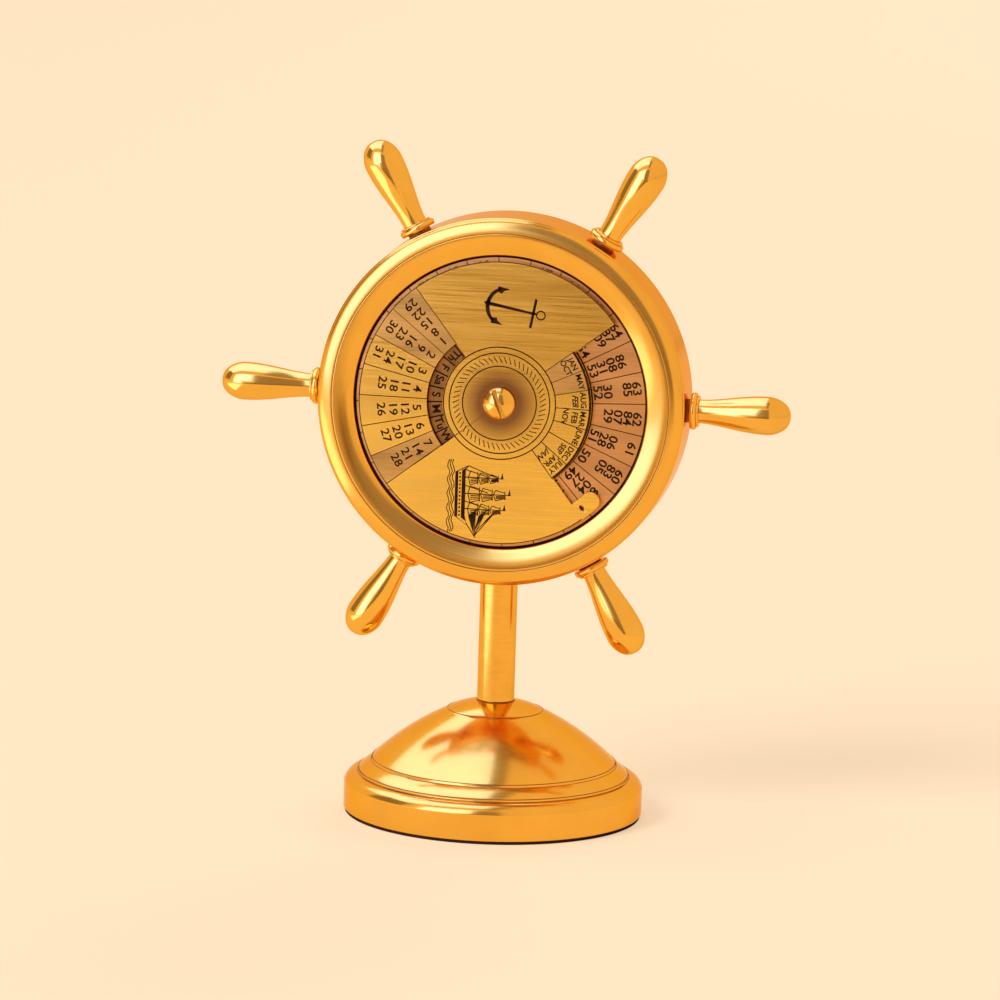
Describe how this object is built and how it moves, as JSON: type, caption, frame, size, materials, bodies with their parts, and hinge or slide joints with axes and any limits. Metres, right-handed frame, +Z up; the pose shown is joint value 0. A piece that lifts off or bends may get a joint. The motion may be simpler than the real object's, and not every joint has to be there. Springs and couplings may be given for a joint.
{
  "type": "desk clock with calendar",
  "caption": "Brass ship's-wheel desk clock on a turned pedestal, with a turning perpetual calendar on its front and a pull-out battery clock in its rear.",
  "frame": {"origin": "middle of the underside, on the surface that the clock stands on", "axes": "+Z up along the stem, the calendar faces -Y and the clock dial faces +Y, +X is to the right of someone who reads the calendar"},
  "size_m": [0.1286, 0.0674, 0.1512],
  "materials": {
    "polished_brass": "polished and lacquered",
    "etched_brass": "satin, etched with black-filled lines",
    "turned_steel": "zinc plated",
    "spring_steel": "blued",
    "felt": "wool felt",
    "clear_lens": "clear acrylic",
    "dial_white": "satin lacquer",
    "case_black": "moulded, fine texture",
    "housing_grey": "moulded",
    "grip_rubber": "moulded",
    "copper_winding": "enamelled copper wire",
    "board_green": "solder mask",
    "cell_steel": "nickel plated",
    "gear_nylon": "moulded nylon",
    "hand_black": "black lacquer"
  },
  "bodies": {
    "stand": {"base": "polished_brass", "felt_pad": "felt", "base_screw": "turned_steel", "base_washer": "turned_steel", "stem": "polished_brass", "drum_body": "polished_brass", "calendar_bezel": "polished_brass", "year_plate": "etched_brass", "hub_bush": "polished_brass", "wave_washer": "spring_steel", "centre_screw": "polished_brass", "handle_1": "polished_brass", "handle_2": "polished_brass", "handle_3": "polished_brass", "handle_4": "polished_brass", "handle_5": "polished_brass", "handle_6": "polished_brass"},
    "calendar": {"calendar_disc": "etched_brass"},
    "clock_insert": {"clock_bezel": "polished_brass", "lens": "clear_lens", "clock_dial": "dial_white", "grip_ring": "grip_rubber", "clock_case": "case_black", "movement_back": "housing_grey", "movement_front": "housing_grey", "coil": "copper_winding", "circuit_board": "board_green", "button_cell": "cell_steel"},
    "hour": {"hour_wheel": "gear_nylon", "hour_hand": "hand_black"},
    "minute": {"minute_arbor": "turned_steel", "minute_hand": "hand_black", "hand_nut": "polished_brass"},
    "intermediate": {"minute_wheel": "gear_nylon"},
    "setting": {"setting_knob": "case_black"},
    "cell_door": {"cell_cover": "case_black"}
  },
  "joints": [
    {"name": "calendar_turn", "type": "hinge", "parent": "stand", "child": "calendar", "pos_m": [0, -0.0072, 0.0945], "axis": [0, -1, 0], "continuous": true},
    {"name": "clock_pull", "type": "slide", "parent": "stand", "child": "clock_insert", "axis": [0, 1, 0], "range_m": [0, 0.012]},
    {"name": "hour_turn", "type": "hinge", "parent": "clock_insert", "child": "hour", "pos_m": [0, 0.002, 0.0945], "axis": [0, -1, 0], "continuous": true},
    {"name": "minute_turn", "type": "hinge", "parent": "clock_insert", "child": "minute", "pos_m": [0, 0.003, 0.0945], "axis": [0, -1, 0], "continuous": true},
    {"name": "intermediate_turn", "type": "hinge", "parent": "clock_insert", "child": "intermediate", "pos_m": [-0.007, 0.0005, 0.0945], "axis": [0, -1, 0], "continuous": true},
    {"name": "setting_turn", "type": "hinge", "parent": "clock_insert", "child": "setting", "pos_m": [-0.014, -0.002, 0.0945], "axis": [0, -1, 0], "continuous": true},
    {"name": "cell_door_turn", "type": "hinge", "parent": "clock_insert", "child": "cell_door", "pos_m": [0.0136, -0.003, 0.0905], "axis": [0, 1, 0], "range_deg": [0, 45]}
  ],
  "couplings": [
    {"joint": "minute_turn", "follows": "hour_turn", "ratio": 12},
    {"joint": "intermediate_turn", "follows": "hour_turn", "ratio": -4},
    {"joint": "setting_turn", "follows": "hour_turn", "ratio": 12}
  ]
}
